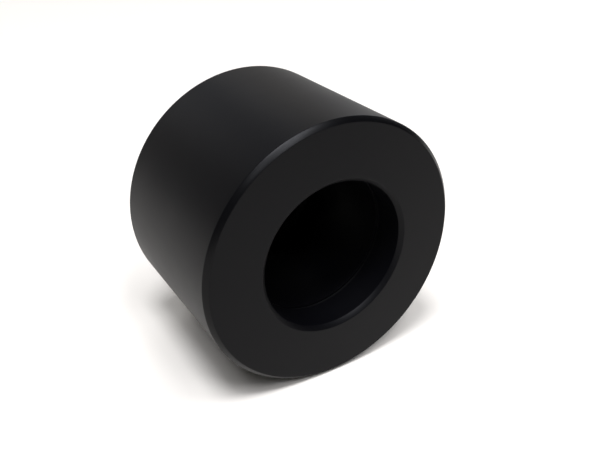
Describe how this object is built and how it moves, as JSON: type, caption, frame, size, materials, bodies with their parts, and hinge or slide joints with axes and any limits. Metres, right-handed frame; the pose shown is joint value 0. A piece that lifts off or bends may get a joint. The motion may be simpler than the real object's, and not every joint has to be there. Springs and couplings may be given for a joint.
{
  "type": "snubbing winch",
  "caption": "Short black rope drum with bevelled rims and a deep open centre, turning one way on a fixed stem bolted to a sailing boat.",
  "frame": {"origin": "centre of the stem's base, on the deck", "axes": "+Z along the drum axis, from the deck to the open end; +X through the first pawl pivot"},
  "size_m": [0.06, 0.06, 0.0413],
  "materials": {
    "anodised_aluminium": "satin black hard anodised",
    "acetal": "machined black acetal",
    "stainless_steel": "ground and machined stainless steel",
    "bronze": "machined aluminium bronze"
  },
  "bodies": {
    "stem": {"stem": "anodised_aluminium", "upper_thrust_washer": "acetal", "lower_thrust_washer": "acetal", "pawl_cover": "stainless_steel", "pawl_spring_1": "stainless_steel", "pawl_spring_2": "stainless_steel", "pawl_spring_3": "stainless_steel"},
    "drum": {"drum": "anodised_aluminium", "ratchet_ring": "stainless_steel", "retaining_plate": "anodised_aluminium", "bearing_spacer": "acetal", "plate_screw_1": "stainless_steel", "plate_screw_2": "stainless_steel", "plate_screw_3": "stainless_steel", "plate_screw_4": "stainless_steel", "plate_screw_5": "stainless_steel", "plate_screw_6": "stainless_steel"},
    "lower_bearing_cage": {"lower_bearing_cage": "acetal"},
    "lower_roller_1": {"lower_roller_1": "stainless_steel"},
    "lower_roller_2": {"lower_roller_2": "stainless_steel"},
    "lower_roller_3": {"lower_roller_3": "stainless_steel"},
    "lower_roller_4": {"lower_roller_4": "stainless_steel"},
    "lower_roller_5": {"lower_roller_5": "stainless_steel"},
    "lower_roller_6": {"lower_roller_6": "stainless_steel"},
    "lower_roller_7": {"lower_roller_7": "stainless_steel"},
    "lower_roller_8": {"lower_roller_8": "stainless_steel"},
    "lower_roller_9": {"lower_roller_9": "stainless_steel"},
    "lower_roller_10": {"lower_roller_10": "stainless_steel"},
    "upper_bearing_cage": {"upper_bearing_cage": "acetal"},
    "upper_roller_1": {"upper_roller_1": "stainless_steel"},
    "upper_roller_2": {"upper_roller_2": "stainless_steel"},
    "upper_roller_3": {"upper_roller_3": "stainless_steel"},
    "upper_roller_4": {"upper_roller_4": "stainless_steel"},
    "upper_roller_5": {"upper_roller_5": "stainless_steel"},
    "upper_roller_6": {"upper_roller_6": "stainless_steel"},
    "upper_roller_7": {"upper_roller_7": "stainless_steel"},
    "upper_roller_8": {"upper_roller_8": "stainless_steel"},
    "upper_roller_9": {"upper_roller_9": "stainless_steel"},
    "upper_roller_10": {"upper_roller_10": "stainless_steel"},
    "pawl_1": {"pawl_1": "bronze"},
    "pawl_2": {"pawl_2": "bronze"},
    "pawl_3": {"pawl_3": "bronze"}
  },
  "joints": [
    {"name": "drum_spin", "type": "hinge", "parent": "stem", "child": "drum", "pos_m": [0, 0, 0.0225], "axis": [0, 0, 1], "continuous": true},
    {"name": "lower_cage_spin", "type": "hinge", "parent": "stem", "child": "lower_bearing_cage", "pos_m": [0, 0, 0.01402], "axis": [0, 0, 1], "continuous": true},
    {"name": "lower_roller_1_spin", "type": "hinge", "parent": "lower_bearing_cage", "child": "lower_roller_1", "pos_m": [0.02125, 0, 0.01402], "axis": [0, 0, 1], "continuous": true},
    {"name": "lower_roller_2_spin", "type": "hinge", "parent": "lower_bearing_cage", "child": "lower_roller_2", "pos_m": [0.01719, 0.01249, 0.01402], "axis": [0, 0, 1], "continuous": true},
    {"name": "lower_roller_3_spin", "type": "hinge", "parent": "lower_bearing_cage", "child": "lower_roller_3", "pos_m": [0.00657, 0.02021, 0.01402], "axis": [0, 0, 1], "continuous": true},
    {"name": "lower_roller_4_spin", "type": "hinge", "parent": "lower_bearing_cage", "child": "lower_roller_4", "pos_m": [-0.00657, 0.02021, 0.01402], "axis": [0, 0, 1], "continuous": true},
    {"name": "lower_roller_5_spin", "type": "hinge", "parent": "lower_bearing_cage", "child": "lower_roller_5", "pos_m": [-0.01719, 0.01249, 0.01402], "axis": [0, 0, 1], "continuous": true},
    {"name": "lower_roller_6_spin", "type": "hinge", "parent": "lower_bearing_cage", "child": "lower_roller_6", "pos_m": [-0.02125, 0, 0.01402], "axis": [0, 0, 1], "continuous": true},
    {"name": "lower_roller_7_spin", "type": "hinge", "parent": "lower_bearing_cage", "child": "lower_roller_7", "pos_m": [-0.01719, -0.01249, 0.01402], "axis": [0, 0, 1], "continuous": true},
    {"name": "lower_roller_8_spin", "type": "hinge", "parent": "lower_bearing_cage", "child": "lower_roller_8", "pos_m": [-0.00657, -0.02021, 0.01402], "axis": [0, 0, 1], "continuous": true},
    {"name": "lower_roller_9_spin", "type": "hinge", "parent": "lower_bearing_cage", "child": "lower_roller_9", "pos_m": [0.00657, -0.02021, 0.01402], "axis": [0, 0, 1], "continuous": true},
    {"name": "lower_roller_10_spin", "type": "hinge", "parent": "lower_bearing_cage", "child": "lower_roller_10", "pos_m": [0.01719, -0.01249, 0.01402], "axis": [0, 0, 1], "continuous": true},
    {"name": "upper_cage_spin", "type": "hinge", "parent": "stem", "child": "upper_bearing_cage", "pos_m": [0, 0, 0.02788], "axis": [0, 0, 1], "continuous": true},
    {"name": "upper_roller_1_spin", "type": "hinge", "parent": "upper_bearing_cage", "child": "upper_roller_1", "pos_m": [0.02125, 0, 0.02788], "axis": [0, 0, 1], "continuous": true},
    {"name": "upper_roller_2_spin", "type": "hinge", "parent": "upper_bearing_cage", "child": "upper_roller_2", "pos_m": [0.01719, 0.01249, 0.02788], "axis": [0, 0, 1], "continuous": true},
    {"name": "upper_roller_3_spin", "type": "hinge", "parent": "upper_bearing_cage", "child": "upper_roller_3", "pos_m": [0.00657, 0.02021, 0.02788], "axis": [0, 0, 1], "continuous": true},
    {"name": "upper_roller_4_spin", "type": "hinge", "parent": "upper_bearing_cage", "child": "upper_roller_4", "pos_m": [-0.00657, 0.02021, 0.02788], "axis": [0, 0, 1], "continuous": true},
    {"name": "upper_roller_5_spin", "type": "hinge", "parent": "upper_bearing_cage", "child": "upper_roller_5", "pos_m": [-0.01719, 0.01249, 0.02788], "axis": [0, 0, 1], "continuous": true},
    {"name": "upper_roller_6_spin", "type": "hinge", "parent": "upper_bearing_cage", "child": "upper_roller_6", "pos_m": [-0.02125, 0, 0.02788], "axis": [0, 0, 1], "continuous": true},
    {"name": "upper_roller_7_spin", "type": "hinge", "parent": "upper_bearing_cage", "child": "upper_roller_7", "pos_m": [-0.01719, -0.01249, 0.02788], "axis": [0, 0, 1], "continuous": true},
    {"name": "upper_roller_8_spin", "type": "hinge", "parent": "upper_bearing_cage", "child": "upper_roller_8", "pos_m": [-0.00657, -0.02021, 0.02788], "axis": [0, 0, 1], "continuous": true},
    {"name": "upper_roller_9_spin", "type": "hinge", "parent": "upper_bearing_cage", "child": "upper_roller_9", "pos_m": [0.00657, -0.02021, 0.02788], "axis": [0, 0, 1], "continuous": true},
    {"name": "upper_roller_10_spin", "type": "hinge", "parent": "upper_bearing_cage", "child": "upper_roller_10", "pos_m": [0.01719, -0.01249, 0.02788], "axis": [0, 0, 1], "continuous": true},
    {"name": "pawl_1_swing", "type": "hinge", "parent": "stem", "child": "pawl_1", "pos_m": [0.02095, 0, 0.0062], "axis": [0, 0, 1], "range_deg": [0, 10], "stiffness_Nm_per_rad": 0.005, "springref_deg": 27.19},
    {"name": "pawl_2_swing", "type": "hinge", "parent": "stem", "child": "pawl_2", "pos_m": [-0.01047, 0.01814, 0.0062], "axis": [0, 0, 1], "range_deg": [0, 10], "stiffness_Nm_per_rad": 0.005, "springref_deg": 27.19},
    {"name": "pawl_3_swing", "type": "hinge", "parent": "stem", "child": "pawl_3", "pos_m": [-0.01047, -0.01814, 0.0062], "axis": [0, 0, 1], "range_deg": [0, 10], "stiffness_Nm_per_rad": 0.005, "springref_deg": 27.19}
  ],
  "couplings": [
    {"joint": "lower_cage_spin", "follows": "drum_spin", "ratio": 0.54706},
    {"joint": "lower_roller_1_spin", "follows": "drum_spin", "ratio": 5.2654},
    {"joint": "lower_roller_2_spin", "follows": "drum_spin", "ratio": 5.2654},
    {"joint": "lower_roller_3_spin", "follows": "drum_spin", "ratio": 5.2654},
    {"joint": "lower_roller_4_spin", "follows": "drum_spin", "ratio": 5.2654},
    {"joint": "lower_roller_5_spin", "follows": "drum_spin", "ratio": 5.2654},
    {"joint": "lower_roller_6_spin", "follows": "drum_spin", "ratio": 5.2654},
    {"joint": "lower_roller_7_spin", "follows": "drum_spin", "ratio": 5.2654},
    {"joint": "lower_roller_8_spin", "follows": "drum_spin", "ratio": 5.2654},
    {"joint": "lower_roller_9_spin", "follows": "drum_spin", "ratio": 5.2654},
    {"joint": "lower_roller_10_spin", "follows": "drum_spin", "ratio": 5.2654},
    {"joint": "upper_cage_spin", "follows": "drum_spin", "ratio": 0.54706},
    {"joint": "upper_roller_1_spin", "follows": "drum_spin", "ratio": 5.2654},
    {"joint": "upper_roller_2_spin", "follows": "drum_spin", "ratio": 5.2654},
    {"joint": "upper_roller_3_spin", "follows": "drum_spin", "ratio": 5.2654},
    {"joint": "upper_roller_4_spin", "follows": "drum_spin", "ratio": 5.2654},
    {"joint": "upper_roller_5_spin", "follows": "drum_spin", "ratio": 5.2654},
    {"joint": "upper_roller_6_spin", "follows": "drum_spin", "ratio": 5.2654},
    {"joint": "upper_roller_7_spin", "follows": "drum_spin", "ratio": 5.2654},
    {"joint": "upper_roller_8_spin", "follows": "drum_spin", "ratio": 5.2654},
    {"joint": "upper_roller_9_spin", "follows": "drum_spin", "ratio": 5.2654},
    {"joint": "upper_roller_10_spin", "follows": "drum_spin", "ratio": 5.2654}
  ]
}
